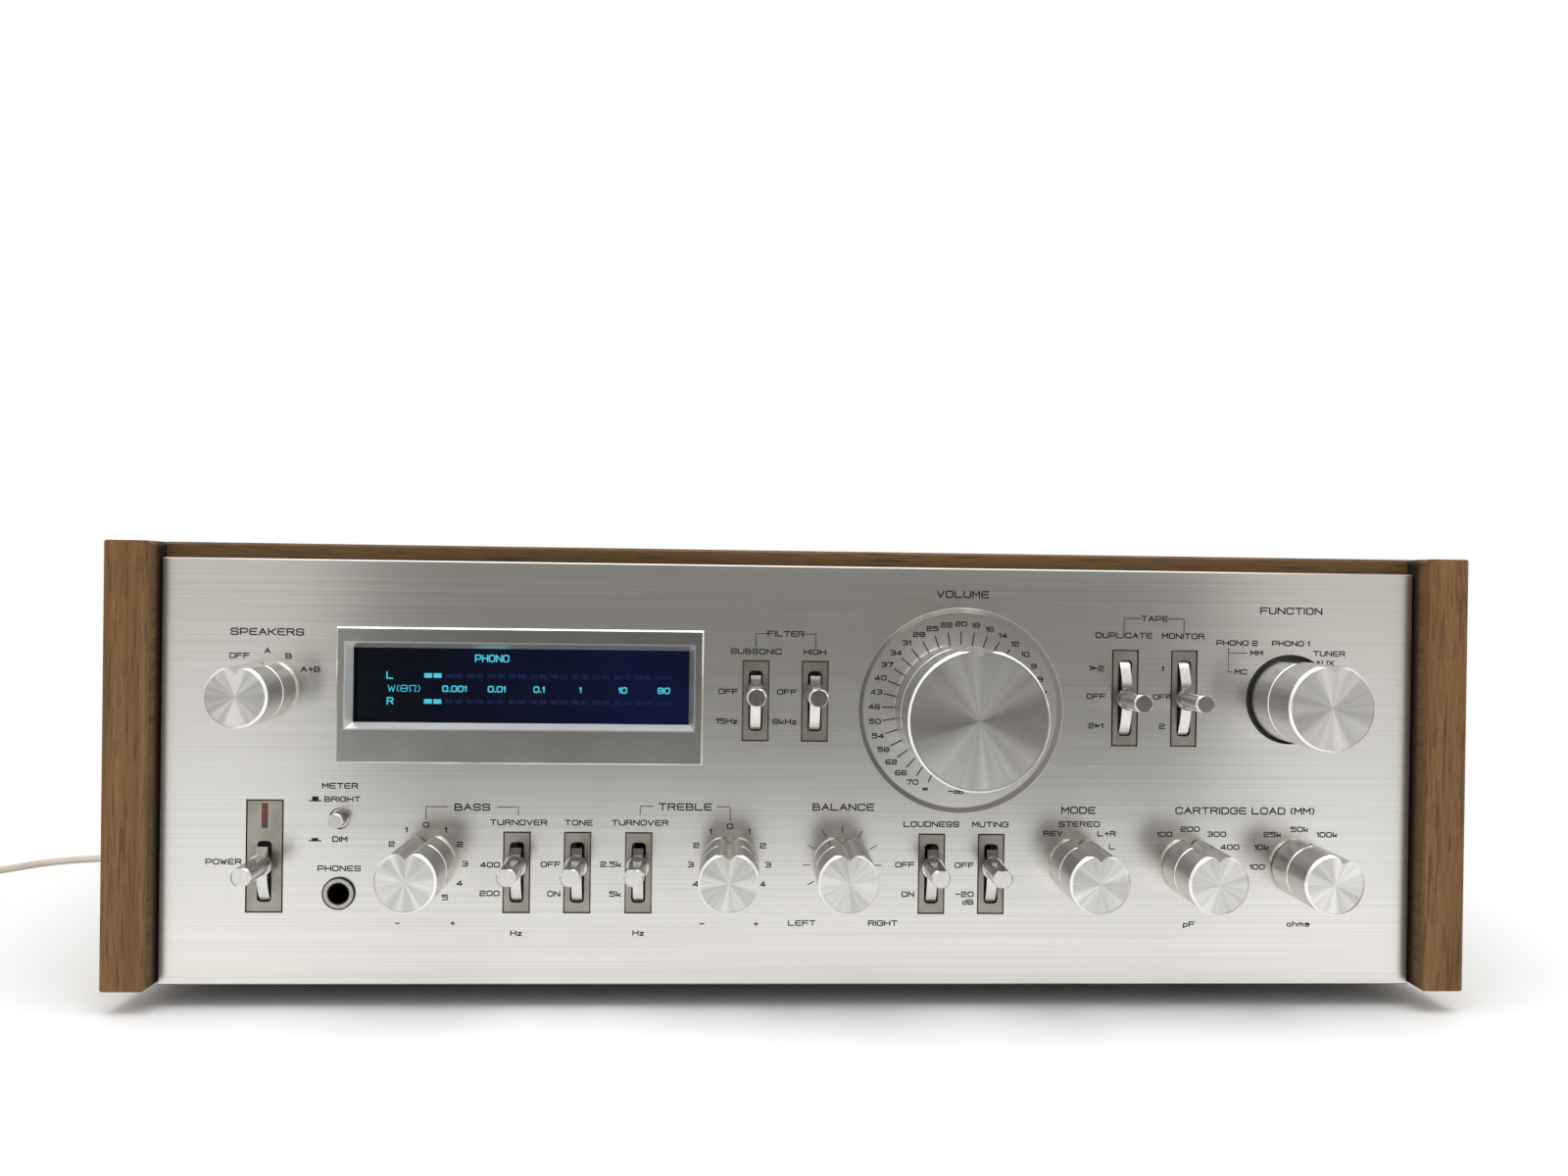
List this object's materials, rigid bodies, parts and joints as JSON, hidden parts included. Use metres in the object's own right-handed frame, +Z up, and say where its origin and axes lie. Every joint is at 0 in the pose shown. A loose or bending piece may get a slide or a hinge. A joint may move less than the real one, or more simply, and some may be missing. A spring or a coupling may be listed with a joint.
{
  "type": "stereo amplifier",
  "caption": "Stereo integrated amplifier with a brushed faceplate, lit power meter, turned knobs, lever switches and a walnut case.",
  "frame": {"origin": "middle of the footprint, on the surface that the feet stand on, leaving the mains lead out", "axes": "+X to the right seen from the front, +Y from the front to the back, +Z up; the faceplate faces -Y"},
  "size_m": [0.6465, 0.4606, 0.1537],
  "materials": {
    "brushed_faceplate": "fine horizontal brushing",
    "dial_aluminium": "fine satin",
    "bezel_aluminium": "satin",
    "smoked_glass": "clear, dark behind",
    "display_glass": "dark blue-black",
    "circuit_board": "matt",
    "switch_plate": "satin, warm grey",
    "indicator_lens": "gloss",
    "dark_plastic": "matt black",
    "sheet_steel": "satin dark paint",
    "switch_body": "matt brown",
    "bright_steel": "bright plated",
    "walnut": "oiled walnut, straight grain",
    "transformer_steel": "satin black",
    "capacitor_sleeve": "gloss blue sleeve",
    "black_anodised": "black anodised",
    "jack_brass": "plated",
    "lead_vinyl": "soft satin vinyl",
    "knob_aluminium": "turned and polished, spun front",
    "lever_aluminium": "polished",
    "button_plastic": "gloss"
  },
  "bodies": {
    "amplifier": {"faceplate": "brushed_faceplate", "volume_dial": "dial_aluminium", "meter_bezel": "bezel_aluminium", "meter_window": "smoked_glass", "display_tube": "display_glass", "display_board": "circuit_board", "switch_plates": "switch_plate", "power_plate": "switch_plate", "power_lens": "indicator_lens", "headphone_jack": "bright_steel", "front_subpanel": "sheet_steel", "rotary_switches": "switch_body", "tone_potentiometers": "bright_steel", "volume_attenuator": "bright_steel", "control_nuts": "bright_steel", "lever_switches": "bright_steel", "meter_switch": "dark_plastic", "chassis_base": "sheet_steel", "rear_panel": "sheet_steel", "top_cover": "sheet_steel", "left_side_panel": "walnut", "right_side_panel": "walnut", "wooden_top": "walnut", "feet": "dark_plastic", "chassis_screws": "bright_steel", "power_transformer": "transformer_steel", "filter_capacitors": "capacitor_sleeve", "heat_sinks": "black_anodised", "output_transistors": "bright_steel", "circuit_boards": "circuit_board", "input_jacks": "jack_brass", "speaker_terminals": "dark_plastic", "mains_outlets": "dark_plastic", "ground_terminal": "bright_steel", "strain_relief": "dark_plastic", "mains_lead": "lead_vinyl", "mains_lead_coil": "lead_vinyl", "mains_plug": "lead_vinyl", "lead_tie": "dark_plastic"},
    "speakers_knob": {"speakers_knob": "knob_aluminium"},
    "bass_knob": {"bass_knob": "knob_aluminium"},
    "treble_knob": {"treble_knob": "knob_aluminium"},
    "balance_knob": {"balance_knob": "knob_aluminium"},
    "mode_knob": {"mode_knob": "knob_aluminium"},
    "capacitance_knob": {"capacitance_knob": "knob_aluminium"},
    "resistance_knob": {"resistance_knob": "knob_aluminium"},
    "function_knob": {"function_knob": "knob_aluminium"},
    "volume_knob": {"volume_knob": "knob_aluminium"},
    "power_lever": {"power_lever": "lever_aluminium"},
    "bass_turnover_lever": {"bass_turnover_lever": "lever_aluminium"},
    "tone_lever": {"tone_lever": "lever_aluminium"},
    "treble_turnover_lever": {"treble_turnover_lever": "lever_aluminium"},
    "loudness_lever": {"loudness_lever": "lever_aluminium"},
    "muting_lever": {"muting_lever": "lever_aluminium"},
    "subsonic_lever": {"subsonic_lever": "lever_aluminium"},
    "high_filter_lever": {"high_filter_lever": "lever_aluminium"},
    "tape_duplicate_lever": {"tape_duplicate_lever": "lever_aluminium"},
    "tape_monitor_lever": {"tape_monitor_lever": "lever_aluminium"},
    "meter_button": {"meter_button": "button_plastic"}
  },
  "joints": [
    {"name": "speakers_turn", "type": "hinge", "parent": "amplifier", "child": "speakers_knob", "pos_m": [-0.1756, -0.17075, 0.1053], "axis": [0, 1, 0], "range_deg": [-30, 60]},
    {"name": "bass_turn", "type": "hinge", "parent": "amplifier", "child": "bass_knob", "pos_m": [-0.1233, -0.17075, 0.0482], "axis": [0, 1, 0], "range_deg": [-150, 150]},
    {"name": "treble_turn", "type": "hinge", "parent": "amplifier", "child": "treble_knob", "pos_m": [-0.0228, -0.17075, 0.0482], "axis": [0, 1, 0], "range_deg": [-150, 150]},
    {"name": "balance_turn", "type": "hinge", "parent": "amplifier", "child": "balance_knob", "pos_m": [0.015, -0.17075, 0.0482], "axis": [0, 1, 0], "range_deg": [-150, 150]},
    {"name": "mode_turn", "type": "hinge", "parent": "amplifier", "child": "mode_knob", "pos_m": [0.0952, -0.17075, 0.0482], "axis": [0, 1, 0], "range_deg": [-30, 90]},
    {"name": "capacitance_turn", "type": "hinge", "parent": "amplifier", "child": "capacitance_knob", "pos_m": [0.1336, -0.17075, 0.0482], "axis": [0, 1, 0], "range_deg": [-30, 90]},
    {"name": "resistance_turn", "type": "hinge", "parent": "amplifier", "child": "resistance_knob", "pos_m": [0.1713, -0.17075, 0.0482], "axis": [0, 1, 0], "range_deg": [-90, 30]},
    {"name": "function_turn", "type": "hinge", "parent": "amplifier", "child": "function_knob", "pos_m": [0.1675, -0.17075, 0.1053], "axis": [0, 1, 0], "range_deg": [-60, 60]},
    {"name": "volume_turn", "type": "hinge", "parent": "amplifier", "child": "volume_knob", "pos_m": [0.0545, -0.17075, 0.1005], "axis": [0, 1, 0], "range_deg": [-157, 147]},
    {"name": "power_switch", "type": "hinge", "parent": "amplifier", "child": "power_lever", "pos_m": [-0.1758, -0.15045, 0.0482], "axis": [1, 0, 0], "range_deg": [0, 20]},
    {"name": "bass_turnover_switch", "type": "hinge", "parent": "amplifier", "child": "bass_turnover_lever", "pos_m": [-0.0934, -0.15045, 0.0482], "axis": [1, 0, 0], "range_deg": [0, 20]},
    {"name": "tone_switch", "type": "hinge", "parent": "amplifier", "child": "tone_lever", "pos_m": [-0.0734, -0.15045, 0.0482], "axis": [1, 0, 0], "range_deg": [0, 20]},
    {"name": "treble_turnover_switch", "type": "hinge", "parent": "amplifier", "child": "treble_turnover_lever", "pos_m": [-0.0531, -0.15045, 0.0482], "axis": [1, 0, 0], "range_deg": [0, 20]},
    {"name": "loudness_switch", "type": "hinge", "parent": "amplifier", "child": "loudness_lever", "pos_m": [0.0452, -0.15045, 0.0482], "axis": [1, 0, 0], "range_deg": [0, 20]},
    {"name": "muting_switch", "type": "hinge", "parent": "amplifier", "child": "muting_lever", "pos_m": [0.0654, -0.15045, 0.0482], "axis": [1, 0, 0], "range_deg": [0, 20]},
    {"name": "subsonic_switch", "type": "hinge", "parent": "amplifier", "child": "subsonic_lever", "pos_m": [-0.0148, -0.15045, 0.106], "axis": [1, 0, 0], "range_deg": [0, 20]},
    {"name": "high_filter_switch", "type": "hinge", "parent": "amplifier", "child": "high_filter_lever", "pos_m": [0.00505, -0.15045, 0.106], "axis": [1, 0, 0], "range_deg": [0, 20]},
    {"name": "tape_duplicate_switch", "type": "hinge", "parent": "amplifier", "child": "tape_duplicate_lever", "pos_m": [0.1104, -0.15045, 0.1053], "axis": [1, 0, 0], "range_deg": [-20, 20]},
    {"name": "tape_monitor_switch", "type": "hinge", "parent": "amplifier", "child": "tape_monitor_lever", "pos_m": [0.1307, -0.15045, 0.1053], "axis": [1, 0, 0], "range_deg": [-20, 20]},
    {"name": "meter_press", "type": "slide", "parent": "amplifier", "child": "meter_button", "axis": [0, 1, 0], "range_m": [0, 0.003], "stiffness_N_per_m": 200}
  ]
}
